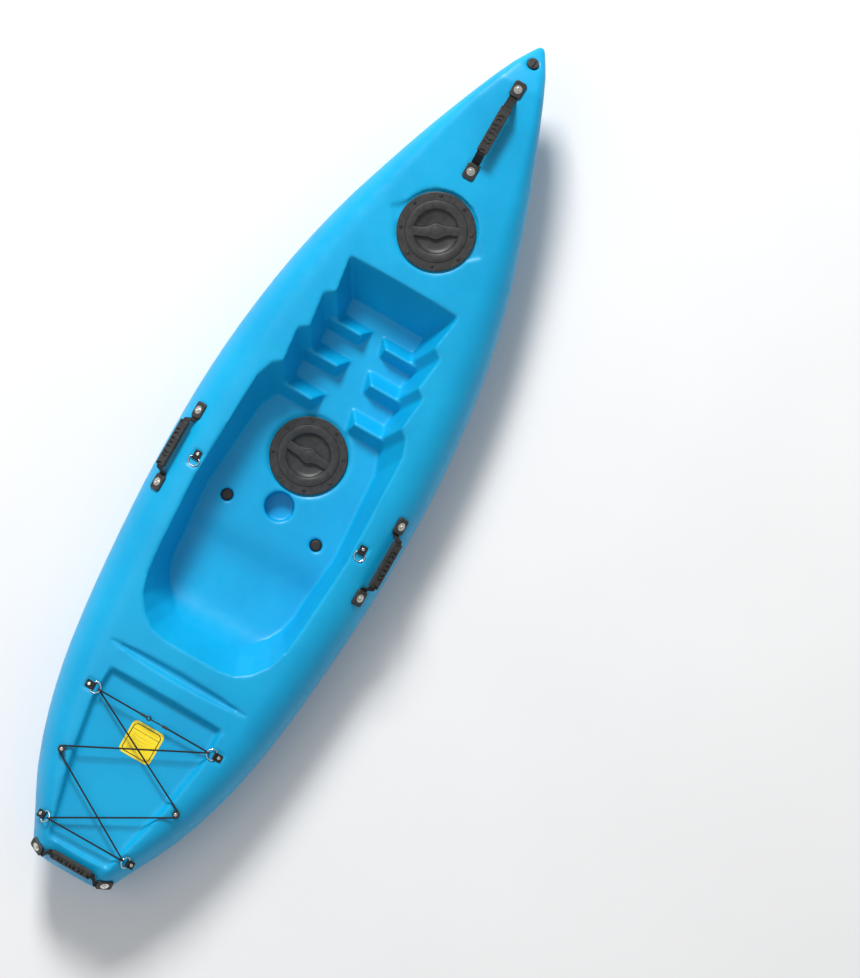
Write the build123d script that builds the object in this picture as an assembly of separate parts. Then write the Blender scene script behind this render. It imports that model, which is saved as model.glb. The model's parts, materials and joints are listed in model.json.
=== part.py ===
from build123d import *
import math
import os

# A sit-on-top kayak: a hollow moulded hull with two round screw hatches, a drain
# plug, scupper plugs, four carry handles, tie rings and a shock cord on its aft deck.
# Millimetres. +X points to the bow, +Y to port, +Z up. The origin is on the ground
# under the middle of the hull.

# ---- driving dimensions ---------------------------------------------------------
LENGTH = 2680.0            # overall length
BEAM = 735.0               # overall width
DEPTH = 285.0              # keel to the highest point of the deck, near the bow
WALL = 6.0                 # moulded wall
DECK_CROWN = 8.0           # rise of the deck towards its middle
KEEL_FLAT = 1.5            # how much of the keel and runners is levelled off

FLOOR_Z = 100.0            # cockpit floor above the ground
SEAT_Z = 82.0              # seat pan above the ground
RIB_HEIGHT = 48.0          # foot rib above the cockpit floor
CUP_RADIUS = 42.0
CUP_DEPTH = 45.0
TANK_DEPTH = 24.0          # aft tank well at its front end
TANK_DEPTH_AFT = 10.0
GROOVE_DEPTH = 14.0
GROOVE_WIDTH = 37.0

RING_RADIUS = 112.0        # hatch ring, outside
RING_THICK = 8.0
RECESS_GAP = 7.5           # hull recess round a hatch ring
RECESS_DEPTH = 7.0
LID_RADIUS = 88.0
LID_THICK = 4.0
NECK_RADIUS = 80.0         # clear opening of a hatch
NECK_WALL = 4.0
NECK_DEPTH = 26.0
GASKET_THICK = 1.5
HATCH_SCREWS = 8
BOW_BAR_TURN = 115.0       # degrees, from the bow to the lid's hand bar
COCKPIT_BAR_TURN = 87.0
HATCH_SCREW_PCD = 200.0
HATCH_SCREW_HEAD = 5.0
HATCH_SCREW_SHANK = 2.2
DISH_RADIUS = 64.5
DISH_DEPTH = 20.0
BAR_LENGTH = 127.0
BAR_WIDTH = 26.0
HUB_RADIUS = 21.5
SEAL_WIRE = 2.0            # radius of the hatch seal's section
SKIRT_WALL = 6.0           # threaded skirt of a hatch lid

DRAIN_RADIUS = 16.0        # drain plug's head
DRAIN_RECESS = 19.5
DRAIN_BORE = 11.0
SCUPPER_RADIUS = 18.0
SCUPPER_NECK = 14.5        # lower bore of a scupper, open to the keel side
PLUG_LENGTH = 32.0

CAP_LENGTH = 48.0          # handle end cap
CAP_WIDTH = 36.0
CAP_THICK = 8.0
PAD_SINK = 3.0             # how far a deck fitting's seat lies below the surface
SIDE_SINK = 5.0            # and a gunwale fitting's
SEAT_GAP = 0.05            # bedding gap under a fitting
STRAP_WIDTH = 25.0
STRAP_THICK = 2.0
GRIP_LENGTH = 143.0
STERN_GRIP_LENGTH = 126.0
GRIP_WIDTH = 32.0
GRIP_THICK = 11.0
BOW_HANDLE_SPAN = 264.0    # screw to screw
SIDE_HANDLE_SPAN = 232.0
STERN_HANDLE_SPAN = 214.0
BOW_HANDLE_RISE = 45.0
SIDE_HANDLE_RISE = 30.0
STERN_HANDLE_RISE = 50.0
SCREW_SHANK = 3.0          # handle and tab screws
SCREW_HEAD = 6.5
WASHER_RADIUS = 12.0
WASHER_THICK = 1.2
INSERT_RADIUS = 5.0
INSERT_LENGTH = 15.0

TAB_BACK = 10.0            # tie-ring tab, from its screw to its plain end
SLEEVE_AT = 13.0           # and from its screw to the ring's straight side
TAB_WIDTH = 22.0
TAB_THICK = 3.0
RING_WIRE = 1.6            # radius of a tie ring's wire
RING_INNER = 16.0          # half the width of a tie ring, to the wire's axis
RING_REACH = 23.0
FRONT_RING_LIFT = 2.0      # degrees that the shock cord holds a ring above its seat
REAR_RING_LIFT = 17.0
NUB_RADIUS = 10.0
NUB_WAIST = 6.0
NUB_HEIGHT = 18.0
CORD_RADIUS = 2.5
SLEEVE_RADIUS = 4.0        # sleeve crimped on a cord end
SLEEVE_LENGTH = 18.0
EYE_RADIUS = 6.0           # eye on one cord end, to the axis of its wire
EYE_WIRE = 2.0
HOOK_WIRE = 1.8
LABEL_SIZE = 99.0
LABEL_THICK = 0.4

FIT = 0.3                  # gap between curved faces of two pieces
PIN_FIT = 0.08             # radial gap of a turning fit
FRAME_SPACING = 0.07       # hull frames, as a share of the half length
CUT_ABOVE = 60.0           # how far a recess tool reaches past the deck
COCKPIT_LEAST = 0.05       # least share of the hull's box that the cockpit takes out

HALF_LENGTH = LENGTH / 2
HALF_BEAM = BEAM / 2

# Hull offsets as shares: station along the half length; half-beam and chine as shares
# of the half beam; heights as shares of the depth; gunwale roll as a share of the half
# beam. Columns: station, beam, keel, deck, widest height, chine, chine height, roll.
OFFSETS = [
    (-1.0000, 0.215, 0.370, 0.470, 0.420, 0.150, 0.385, 0.100),
    (-0.9950, 0.272, 0.325, 0.590, 0.440, 0.205, 0.350, 0.110),
    (-0.9840, 0.322, 0.275, 0.715, 0.480, 0.255, 0.335, 0.120),
    (-0.9680, 0.364, 0.150, 0.815, 0.520, 0.300, 0.335, 0.135),
    (-0.9460, 0.402, 0.045, 0.850, 0.530, 0.345, 0.360, 0.160),
    (-0.9200, 0.450, 0.000, 0.862, 0.530, 0.380, 0.370, 0.170),
    (-0.8350, 0.606, 0.000, 0.902, 0.520, 0.500, 0.320, 0.210),
    (-0.7160, 0.755, 0.000, 0.909, 0.510, 0.600, 0.275, 0.250),
    (-0.5670, 0.870, 0.000, 0.905, 0.500, 0.670, 0.255, 0.280),
    (-0.3700, 0.950, 0.000, 0.895, 0.490, 0.710, 0.245, 0.300),
    (-0.1500, 0.997, 0.000, 0.895, 0.490, 0.740, 0.242, 0.305),
    (0.0800, 0.990, 0.000, 0.900, 0.500, 0.735, 0.245, 0.300),
    (0.3000, 0.905, 0.000, 0.916, 0.540, 0.680, 0.255, 0.280),
    (0.4850, 0.762, 0.000, 0.930, 0.620, 0.590, 0.268, 0.240),
    (0.6340, 0.592, 0.012, 0.954, 0.700, 0.440, 0.310, 0.180),
    (0.7460, 0.446, 0.070, 0.972, 0.780, 0.310, 0.400, 0.120),
    (0.8430, 0.304, 0.240, 0.990, 0.860, 0.205, 0.530, 0.080),
    (0.9050, 0.208, 0.410, 0.990, 0.880, 0.140, 0.640, 0.070),
    (0.9480, 0.136, 0.525, 0.920, 0.840, 0.090, 0.690, 0.055),
    (0.9730, 0.084, 0.605, 0.860, 0.800, 0.055, 0.720, 0.035),
    (0.9920, 0.042, 0.710, 0.812, 0.780, 0.026, 0.745, 0.018),
    (1.0000, 0.020, 0.755, 0.800, 0.785, 0.012, 0.768, 0.008),
]

# Cockpit outline at the deck and at the floor: shares of half length and half beam,
# port side, from the foot end to the back of the seat. The notches are the foot ribs.
COCKPIT_DECK = [
    (0.422, 0.473), (0.342, 0.430), (0.328, 0.512), (0.253, 0.476), (0.239, 0.552),
    (0.163, 0.522), (0.149, 0.593), (0.112, 0.642), (-0.142, 0.672), (-0.310, 0.634),
    (-0.366, 0.612), (-0.410, 0.563), (-0.444, 0.468), (-0.463, 0.367), (-0.469, 0.245),
]
COCKPIT_FLOOR = [
    (0.351, 0.321), (0.278, 0.288), (0.266, 0.376), (0.196, 0.343), (0.184, 0.414),
    (0.107, 0.381), (0.094, 0.457), (0.052, 0.522), (-0.142, 0.577), (-0.299, 0.544),
    (-0.336, 0.512), (-0.366, 0.449), (-0.384, 0.367), (-0.396, 0.272), (-0.399, 0.190),
]
# Foot ribs: bow-side foot, crest and stern-side foot along the hull, then the inboard
# ends of the bow-side foot, the crest and the stern-side foot, and the crest's outer end.
FOOT_RIBS = [
    (0.312, 0.290, 0.268, 0.040, 0.103, 0.095),
    (0.236, 0.209, 0.185, 0.073, 0.142, 0.125),
    (0.149, 0.122, 0.096, 0.112, 0.188, 0.160),
]
TANK_OUTLINE = [(-0.569, 0.500), (-0.648, 0.509), (-0.748, 0.446), (-0.954, 0.278)]
TANK_SLOPE_RUN = 16.0      # width of the tank well's sloped side

# Stations of the fittings, as shares of the half length, and their half spacings
BOW_HANDLE_AT = 0.797
BOW_HATCH_AT = 0.5545
COCKPIT_HATCH_AT = 0.015
DRAIN_AT = 0.958
CUP_AT = -0.109
SCUPPER_AT = (-0.142, 0.395)
GROOVE_AT = -0.522
GROOVE_HALF = 0.748
SIDE_HANDLE_AT = (-0.103, 0.882)
SIDE_HANDLE_LEVEL = 0.774   # as a share of the depth
STERN_HANDLE_AT = (-0.977, 0.691)
SIDE_RING_AT = (-0.097, 0.727)
FRONT_RING_AT = (-0.626, 0.569)
REAR_RING_AT = (-0.913, 0.395)
NUB_AT = (-0.772, 0.501)
LABEL_AT = -0.679

nodes = {}


def along(share):
    return share * HALF_LENGTH


def across(share):
    return share * HALF_BEAM


def offset_at(x, column):
    """A column of the offset table at x, on a smooth curve through its stations."""
    share = max(-1.0, min(1.0, x / HALF_LENGTH))
    last = len(OFFSETS) - 1
    i = next(k for k in range(last) if share <= OFFSETS[k + 1][0])
    near = [OFFSETS[max(0, min(last, k))] for k in (i - 1, i, i + 1, i + 2)]
    (s0, v0), (s1, v1), (s2, v2), (s3, v3) = [(row[0], row[column]) for row in near]
    step = s2 - s1
    t = (share - s1) / step
    lean_in = (v2 - v0) / (s2 - s0) * step
    lean_out = (v3 - v1) / (s3 - s1) * step
    bend = 2 * (v1 - v2) + lean_in + lean_out
    return v1 + t * (lean_in + t * (3 * (v2 - v1) - 2 * lean_in - lean_out + t * bend))


def frame_rows(spacing):
    """Rows of the offset table with more frames where its stations lie far apart."""
    rows = []
    for low, high in zip(OFFSETS, OFFSETS[1:]):
        count = math.ceil((high[0] - low[0]) / spacing)
        for k in range(count):
            share = low[0] + (high[0] - low[0]) * k / count
            rows.append((share, *[offset_at(share * HALF_LENGTH, c) for c in range(1, 8)]))
    return rows + [OFFSETS[-1]]


def deck_z(x, y=0.0):
    """Height of the deck, out to where its edge starts to roll over."""
    flat = HALF_BEAM * (offset_at(x, 1) - offset_at(x, 7))
    fall = DECK_CROWN * offset_at(x, 1) * min(1.0, abs(y) / flat) ** 2
    return DEPTH * offset_at(x, 3) - fall


# ---- hull -----------------------------------------------------------------------
def hull_section(row, inset):
    """One closed frame of the hull, drawn inside the moulded surface by inset."""
    station, beam, keel, deck, widest, chine, chine_height, roll = row
    x = station * (HALF_LENGTH - inset)
    b = beam * HALF_BEAM - inset
    a = b - roll * HALF_BEAM * b / (b + inset)
    crown = DECK_CROWN * beam
    z_deck = deck * DEPTH - inset
    z_edge = z_deck - crown
    z_wide = widest * DEPTH
    c = chine * HALF_BEAM * b / (b + inset)
    z_keel = keel * DEPTH + inset
    z_chine = max(chine_height * DEPTH, z_keel + 2.0)
    drop = z_chine - z_keel
    lean = 2 * crown / a

    def roll_side(s):
        return Bezier(
            (x, s * a, z_edge),
            (x, s * (a + 0.55 * (b - a)), z_edge - lean * 0.55 * (b - a)),
            (x, s * b, z_wide + 0.45 * (z_edge - z_wide)),
            (x, s * b, z_wide),
        )

    def wall_side(s):
        return Bezier(
            (x, s * b, z_wide),
            (x, s * b, z_wide - 0.45 * (z_wide - z_chine)),
            (x, s * (c + 0.35 * (b - c)), z_chine + 0.30 * (z_wide - z_chine)),
            (x, s * c, z_chine),
        )

    deck_edge = Bezier((x, -a, z_edge), (x, 0, z_deck + crown), (x, a, z_edge))
    runner = [(1.0, 1.0), (0.84, 0.22), (0.68, 0.0), (0.52, 0.03), (0.36, 0.14), (0.14, 0.03)]
    level = KEEL_FLAT if keel == 0.0 and inset == 0.0 else 0.0
    half = [(y * c, z_keel + z * drop - level * (1 - z)) for y, z in runner]
    points = [(x, -y, z) for y, z in half]
    points.append((x, 0, z_keel - level))
    points += [(x, y, z) for y, z in reversed(half)]
    bottom = Spline(*points)
    return Wire([deck_edge, roll_side(1), wall_side(1), bottom, wall_side(-1), roll_side(-1)])


def hull_body(inset, spacing):
    rows = [r for r in frame_rows(spacing) if r[1] * HALF_BEAM > 2.2 * inset]
    rows = [r for r in rows if (r[3] - r[2]) * DEPTH > 3.5 * inset]
    return Solid.make_loft([hull_section(r, inset) for r in rows], ruled=True)


def grown(points, amount):
    """A closed outline moved outwards by amount, corner for corner."""
    area = sum(
        p[0] * q[1] - q[0] * p[1] for p, q in zip(points, points[1:] + points[:1])
    )
    side = math.copysign(1.0, area)
    moved = []
    for before, here, after in zip(points[-1:] + points, points, points[1:] + points[:1]):
        into = Vector(here[0] - before[0], here[1] - before[1]).normalized()
        out = Vector(after[0] - here[0], after[1] - here[1]).normalized()
        normal_in = Vector(into.Y, -into.X) * side
        normal_out = Vector(out.Y, -out.X) * side
        reach = amount / (1 + normal_in.dot(normal_out))
        shift = (normal_in + normal_out) * reach
        moved.append((here[0] + shift.X, here[1] + shift.Y))
    return moved


def both_sides(half):
    """A closed outline from its port half, bow to stern."""
    return half + [(x, -y) for x, y in reversed(half)]


def ring_at(points, height):
    """A closed wire through outline points; height is a number or a function of x."""
    level = height if callable(height) else (lambda x: height)
    return Wire.make_polygon([(x, y, level(x)) for x, y in points], close=True)


def well(top, top_z, bottom, bottom_z):
    return Solid.make_loft([ring_at(bottom, bottom_z), ring_at(top, top_z)], ruled=True)


def cockpit_tool(grow):
    """The space of the cockpit, grown by the wall for the inside of the skin."""
    deck_level = DEPTH * offset_at(0.0, 3)
    deck_line = grown(both_sides([(along(x), across(y)) for x, y in COCKPIT_DECK]), grow)
    floor_line = grown(both_sides([(along(x), across(y)) for x, y in COCKPIT_FLOOR]), grow)

    def outline(z):
        t = (z - FLOOR_Z) / (deck_level - FLOOR_Z)
        return [
            (f[0] + t * (d[0] - f[0]), f[1] + t * (d[1] - f[1]))
            for d, f in zip(deck_line, floor_line)
        ]

    low = SEAT_Z - 25.0
    high = deck_level + CUT_ABOVE
    basin = well(outline(high), high, outline(low), low)
    floor = FLOOR_Z - grow
    seat = SEAT_Z - grow
    start = along(-0.165)
    back = along(-0.355)
    with BuildSketch(Plane.XZ) as side:
        with BuildLine():
            Polyline(
                (start, floor), (HALF_LENGTH, floor), (HALF_LENGTH, high + 20),
                (-HALF_LENGTH, high + 20), (-HALF_LENGTH, deck_level), (along(-0.49), deck_level),
            )
            Spline(
                (along(-0.49), deck_level), (along(-0.44), (deck_level + seat) / 2 + 8),
                (back - 30, seat + 14), (back + 40, seat), (along(-0.235), seat + 1),
                (start, floor), tangents=[(1, -2.2), (1, 0)],
            )
        make_face()
    space = extrude(side.sketch, amount=BEAM, both=True)
    ribs = [foot_rib(row, s, grow) for row in FOOT_RIBS for s in (1, -1)]
    return (space & basin) - ribs


def foot_rib(row, side, grow):
    """A foot rib: a long slope towards the bow, a crest and a steep face aft."""
    foot, crest, heel, foot_in, crest_in, heel_in = row
    out = across(0.62)
    low = FLOOR_Z - grow - 2.0
    high = FLOOR_Z + RIB_HEIGHT - grow
    shrink = grow
    lower = [
        (along(foot) - shrink, across(foot_in) + shrink), (along(foot) - shrink, out),
        (along(heel) + shrink, out), (along(heel) + shrink, across(heel_in) + shrink),
    ]
    upper = [
        (along(crest) + 4.0 - 0.4 * shrink, across(crest_in) + shrink),
        (along(crest) + 4.0 - 0.4 * shrink, out),
        (along(crest) - 4.0 + 0.4 * shrink, out),
        (along(crest) - 4.0 + 0.4 * shrink, across(crest_in) + shrink),
    ]
    lower = [(x, side * y) for x, y in lower]
    upper = [(x, side * y) for x, y in upper]
    return well(upper, high, lower, low)


def tank_tool(grow):
    """The shallow aft well, parallel to the sloping deck."""
    half = [(along(x), across(y)) for x, y in TANK_OUTLINE]
    top = both_sides(half)
    bottom = grown(top, grow - TANK_SLOPE_RUN)
    front, aft = half[0][0], half[-1][0]
    front_z = deck_z(front) - TANK_DEPTH - grow
    aft_z = deck_z(aft) - TANK_DEPTH_AFT - grow

    def floor_level(x):
        return aft_z + (x - aft) / (front - aft) * (front_z - aft_z)

    def above(x):
        return floor_level(x) + TANK_DEPTH + CUT_ABOVE

    spread = TANK_SLOPE_RUN * (TANK_DEPTH + CUT_ABOVE) / TANK_DEPTH
    return well(grown(top, grow + spread - TANK_SLOPE_RUN), above, bottom, floor_level)


def tank_floor_z(x):
    front, aft = along(TANK_OUTLINE[0][0]), along(TANK_OUTLINE[-1][0])
    front_z = deck_z(front) - TANK_DEPTH
    aft_z = deck_z(aft) - TANK_DEPTH_AFT
    return aft_z + (x - aft) / (front - aft) * (front_z - aft_z)


def groove_tool(grow):
    x = along(GROOVE_AT)
    reach = across(GROOVE_HALF)
    z = deck_z(x)
    half = GROOVE_WIDTH / 2
    shoulder = reach * 0.55
    top = [
        (x, reach), (x - half * 0.8, shoulder), (x - half, 0), (x - half * 0.8, -shoulder),
        (x, -reach), (x + half * 0.8, -shoulder), (x + half, 0), (x + half * 0.8, shoulder),
    ]
    inner = [(x + 0.35 * (px - x), 0.9 * py) for px, py in top]
    bottom = grown(inner, grow)
    rise = 20.0
    wide = [(x + (px - x) * (1 + 0.65 * rise / GROOVE_DEPTH), py) for px, py in top]
    return well(grown(wide, grow), z + rise, bottom, z - GROOVE_DEPTH - grow)


class Seat:
    """A flat seat for a fitting: its own axes, with z out of the hull."""

    def __init__(self, origin, x_dir, z_dir):
        self.plane = Plane(origin=origin, x_dir=x_dir, z_dir=z_dir)

    def put(self, shape):
        return self.plane.location * shape


def seat_block(length, width, radius, depth):
    """A rounded block that stands on the seat; depth reaches round and below it."""
    base = RectangleRounded(length + 2 * depth, width + 2 * depth, radius + depth)
    return Pos(0, 0, -SEAT_GAP - depth) * extrude(base, CUT_ABOVE)


# ---- seats of the fittings --------------------------------------------------------
def handle_frames():
    """Each handle's name, frame, span, grip, rise, lean of its caps and arch tilt."""
    bow_x = along(BOW_HANDLE_AT)
    fore, aft = bow_x + BOW_HANDLE_SPAN / 2, bow_x - BOW_HANDLE_SPAN / 2
    fore_z, aft_z = deck_z(fore) - PAD_SINK, deck_z(aft) - PAD_SINK
    slope = Vector(fore - aft, 0, fore_z - aft_z).normalized()
    bow = Seat((bow_x, 0, (fore_z + aft_z) / 2), slope, Vector(-slope.Z, 0, slope.X))
    side_x, side_y = along(SIDE_HANDLE_AT[0]), across(SIDE_HANDLE_AT[1])
    roll_angle = math.radians(42)
    frames = [("bow", bow, BOW_HANDLE_SPAN, GRIP_LENGTH, BOW_HANDLE_RISE, 0.0, 0.0)]
    side_z = DEPTH * SIDE_HANDLE_LEVEL - SIDE_SINK
    for name, s in (("port", 1), ("starboard", -1)):
        normal = (0, s * math.sin(roll_angle), math.cos(roll_angle))
        seat = Seat((side_x, s * side_y, side_z), (1, 0, 0), normal)
        frames.append((name, seat, SIDE_HANDLE_SPAN, GRIP_LENGTH, SIDE_HANDLE_RISE, 0.0, 0.0))
    back = math.radians(46)
    normal = (-math.sin(back), 0, math.cos(back))
    stern_x, stern_z = along(STERN_HANDLE_AT[0]), DEPTH * STERN_HANDLE_AT[1]
    stern = Seat((stern_x, 0, stern_z), (0, -1, 0), normal)
    stern_row = (STERN_HANDLE_SPAN, STERN_GRIP_LENGTH, STERN_HANDLE_RISE, 32.0, 53.0)
    frames.append(("stern", stern, *stern_row))
    return frames


def cap_seat(span, lean, side):
    """The seat of one end cap in its handle's frame."""
    angle = math.radians(lean)
    return Seat(
        (side * span / 2, 0, 0),
        (side * math.cos(angle), 0, -math.sin(angle)),
        (side * math.sin(angle), 0, math.cos(angle)),
    )


HANDLES = handle_frames()


def ring_seats():
    """Each tie ring's name, seat and lift; x points from the screw to the ring."""
    seats = []
    for side_name, s in (("port", 1), ("starboard", -1)):
        for place, at, drop, slope, lift in (
            ("side", SIDE_RING_AT, 7.0, 12.0, 0.0),
            ("front", FRONT_RING_AT, 5.0, 6.0, FRONT_RING_LIFT),
            ("rear", REAR_RING_AT, 17.0, 28.0, REAR_RING_LIFT),
        ):
            x, y = along(at[0]), across(at[1])
            angle = math.radians(slope)
            inboard = (0, -s * math.cos(angle), math.sin(angle))
            towards = (-1, 0, 0) if place == "side" else inboard
            out = (0, s * math.sin(angle), math.cos(angle))
            seat = Seat((x, s * y, deck_z(x, y) - drop), towards, out)
            seats.append((f"{side_name}_{place}_ring", seat, lift))
    return seats


RING_SEATS = ring_seats()
NUB_X, NUB_Y = along(NUB_AT[0]), across(NUB_AT[1])
NUB_SEATS = [
    (side_name, Seat((NUB_X, s * NUB_Y, deck_z(NUB_X, NUB_Y) - 4.0), (1, 0, 0), (0, 0, 1)))
    for side_name, s in (("port", 1), ("starboard", -1))
]


def hatch_seat(share, level):
    return Seat((along(share), 0, level), (1, 0, 0), (0, 0, 1))


BOW_HATCH = hatch_seat(BOW_HATCH_AT, deck_z(along(BOW_HATCH_AT)) - RECESS_DEPTH - 2.0)
COCKPIT_HATCH = hatch_seat(COCKPIT_HATCH_AT, FLOOR_Z - RECESS_DEPTH)
drain_tilt = math.radians(24)
DRAIN = Seat(
    (along(DRAIN_AT), 0, deck_z(along(DRAIN_AT)) - 5.0),
    (math.cos(drain_tilt), 0, -math.sin(drain_tilt)),
    (math.sin(drain_tilt), 0, math.cos(drain_tilt)),
)


def recess_tools(grow):
    """Everything pressed into the skin; grown by the wall for the inside."""
    tools = [cockpit_tool(grow), tank_tool(grow), groove_tool(grow)]
    recess = RING_RADIUS + RECESS_GAP + grow
    tall = CUT_ABOVE + grow
    lift = tall / 2 - grow - SEAT_GAP
    tools.append(BOW_HATCH.put(Pos(0, 0, lift) * Cylinder(recess, tall)))
    ear = [(0, 150 + grow), (-46 - grow, 100), (0, 50), (46 + grow, 100)]
    for s in (1, -1):
        tip = well([(x, s * y) for x, y in ear], CUT_ABOVE, [(x, s * y) for x, y in ear], -grow)
        tools.append(BOW_HATCH.put(tip))
    floor_lift = RECESS_DEPTH / 2 + 1.0 - grow / 2 - SEAT_GAP
    tools.append(
        COCKPIT_HATCH.put(Pos(0, 0, floor_lift) * Cylinder(recess, RECESS_DEPTH + 2 + grow))
    )
    cup_tall = CUP_DEPTH + 2.0 + grow
    cup_z = FLOOR_Z - CUP_DEPTH - grow + cup_tall / 2
    tools.append(Pos(along(CUP_AT), 0, cup_z) * Cylinder(CUP_RADIUS + grow, cup_tall))
    drain_tall = 30.0 + grow
    drain_well = Cylinder(DRAIN_RECESS + grow, drain_tall)
    tools.append(DRAIN.put(Pos(0, 0, drain_tall / 2 - grow - SEAT_GAP) * drain_well))
    for name, frame, span, grip, rise, lean, tilt in HANDLES:
        for s in (1, -1):
            pad = Pos(-6, 0, 0) * seat_block(CAP_LENGTH + 14, CAP_WIDTH + 2, 9.0, grow)
            tools.append(frame.put(cap_seat(span, lean, s).put(pad)))
    for name, seat, lift in RING_SEATS:
        reach = TAB_BACK + SLEEVE_AT + RING_REACH
        pad = Pos(reach / 2 - TAB_BACK, 0, 0) * seat_block(reach + 8, 2 * RING_INNER + 8, 6.0, grow)
        tools.append(seat.put(pad))
    for name, seat in NUB_SEATS:
        tall = CUT_ABOVE + grow
        nub_well = Cylinder(NUB_RADIUS + 1 + grow, tall)
        tools.append(seat.put(Pos(0, 0, tall / 2 - grow - SEAT_GAP) * nub_well))
    return tools


def screw_places():
    """Seats of all the screws that go into blind inserts in the skin."""
    places = []
    for name, frame, span, grip, rise, lean, tilt in HANDLES:
        for s in (1, -1):
            places.append(frame.plane.location * cap_seat(span, lean, s).plane.location)
    for name, seat, *lift in RING_SEATS + NUB_SEATS:
        places.append(seat.plane.location)
    return places


def carve(body, tools):
    """Takes the recesses out, and the cockpit first, moved by a hair if a cut misses."""
    cockpit = tools[0]
    for shift in (0.0, 0.07, -0.1, 0.15, -0.2):
        rest = body - Pos(shift, 0, 0) * cockpit
        if body.volume - rest.volume > COCKPIT_LEAST * LENGTH * BEAM * DEPTH:
            break
    return rest - tools[1:]


def make_hull():
    skin = hull_body(0.0, FRAME_SPACING) - Pos(0, 0, -50) * Box(2 * LENGTH, 2 * BEAM, 100)
    skin = carve(skin, recess_tools(0.0))
    void = carve(hull_body(WALL, 1.0), recess_tools(WALL))
    for s in (1, -1):
        tube = Pos(along(SCUPPER_AT[0]), s * across(SCUPPER_AT[1]), FLOOR_Z / 2)
        void = void - tube * Cylinder(SCUPPER_RADIUS + WALL, FLOOR_Z + 20)
    shell = skin - void
    holes = []
    for s in (1, -1):
        x, y = along(SCUPPER_AT[0]), s * across(SCUPPER_AT[1])
        holes.append(Pos(x, y, FLOOR_Z / 2) * Cylinder(SCUPPER_NECK, FLOOR_Z + 20))
        top = FLOOR_Z - PLUG_LENGTH - 3.0
        holes.append(Pos(x, y, top + 25) * Cylinder(SCUPPER_RADIUS, 50))
    for seat in (BOW_HATCH, COCKPIT_HATCH):
        holes.append(seat.put(Cylinder(NECK_RADIUS + NECK_WALL + 1.0, 40)))
        turn = PolarLocations(HATCH_SCREW_PCD / 2, HATCH_SCREWS, 22.5)
        holes += [seat.put(spot * Cylinder(HATCH_SCREW_SHANK + 0.1, 40)) for spot in turn]
    holes.append(DRAIN.put(Cylinder(DRAIN_BORE + 3.0 + PIN_FIT, 40)))
    for place in screw_places():
        holes.append(place * Pos(0, 0, -WALL) * Cylinder(INSERT_RADIUS + PIN_FIT, 3 * WALL))
    return shell - holes


# ---- hatches ----------------------------------------------------------------------
def hatch(name, seat, bar_turn):
    """Screw-in hatch: gasket, ring, screws, lid and the lid's seal."""
    base = GASKET_THICK
    top = base + RING_THICK
    inner = NECK_RADIUS + NECK_WALL
    screws = PolarLocations(HATCH_SCREW_PCD / 2, HATCH_SCREWS, 22.5)
    holes = [spot * Cylinder(HATCH_SCREW_SHANK + 0.1, 60) for spot in screws]
    gasket = extrude(Circle(RING_RADIUS - 1) - Circle(inner + 1.0), GASKET_THICK) - holes
    ring = Pos(0, 0, base) * extrude(Circle(RING_RADIUS), RING_THICK)
    ring = fillet(ring.edges().group_by(Axis.Z)[-1], 2.5)
    ring += Pos(0, 0, -NECK_DEPTH) * extrude(Circle(inner), NECK_DEPTH + base + 1)
    ring -= Pos(0, 0, -NECK_DEPTH - 1) * extrude(Circle(NECK_RADIUS), 80)
    ring -= Pos(0, 0, top - LID_THICK - 1.0) * extrude(Circle(LID_RADIUS + FIT), 20)
    sink = [spot * Pos(0, 0, top - 0.4) * Cylinder(HATCH_SCREW_HEAD + 0.4, 2.4) for spot in screws]
    ring = ring - holes - sink
    head = Pos(0, 0, top - 1.6) * extrude(Circle(HATCH_SCREW_HEAD), 2.4)
    head = fillet(head.edges().group_by(Axis.Z)[-1], 1.2)
    head -= Pos(0, 0, top + 0.8) * Cylinder(2.0, 2.4)
    screw = head + Pos(0, 0, top - 1.6 - 18) * extrude(Circle(HATCH_SCREW_SHANK), 18.5)
    lid_base = top - LID_THICK - 1.0 + 0.2
    lid = Pos(0, 0, lid_base) * extrude(Circle(LID_RADIUS), LID_THICK + 0.8)
    lid = fillet(lid.edges().group_by(Axis.Z)[-1], 1.2)
    skirt_out = NECK_RADIUS - FIT
    lid += Pos(0, 0, -16) * extrude(Circle(skirt_out), 16 + lid_base + 1)
    lid -= Pos(0, 0, -30) * extrude(Circle(skirt_out - SKIRT_WALL), 30 + lid_base)
    dish_z = lid_base + LID_THICK + 0.8 - DISH_DEPTH
    lid += Pos(0, 0, dish_z - 3) * extrude(Circle(DISH_RADIUS + 3), DISH_DEPTH - 1)
    lid -= Pos(0, 0, dish_z) * extrude(Circle(DISH_RADIUS), DISH_DEPTH + 5)
    bar_top = lid_base + LID_THICK + 0.8
    bar = Rectangle(BAR_LENGTH + 6, BAR_WIDTH) + Circle(HUB_RADIUS)
    bar = Rot(0, 0, bar_turn) * (bar & Circle(DISH_RADIUS + 1))
    lid += Pos(0, 0, dish_z - 1) * extrude(bar, bar_top - dish_z + 1)
    seal_ring = skirt_out + 0.2 - SEAL_WIRE
    lid -= Pos(0, 0, -9) * Torus(seal_ring, SEAL_WIRE + 0.05)
    seal = Pos(0, 0, -9) * Torus(seal_ring, SEAL_WIRE)
    nodes[name + "_gasket"] = seat.put(gasket)
    nodes[name + "_ring"] = seat.put(ring)
    nodes[name + "_screws"] = seat.put(Compound(children=[spot * screw for spot in screws]))
    nodes[name + "_lid"] = seat.put(lid)
    nodes[name + "_seal"] = seat.put(seal)


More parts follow.
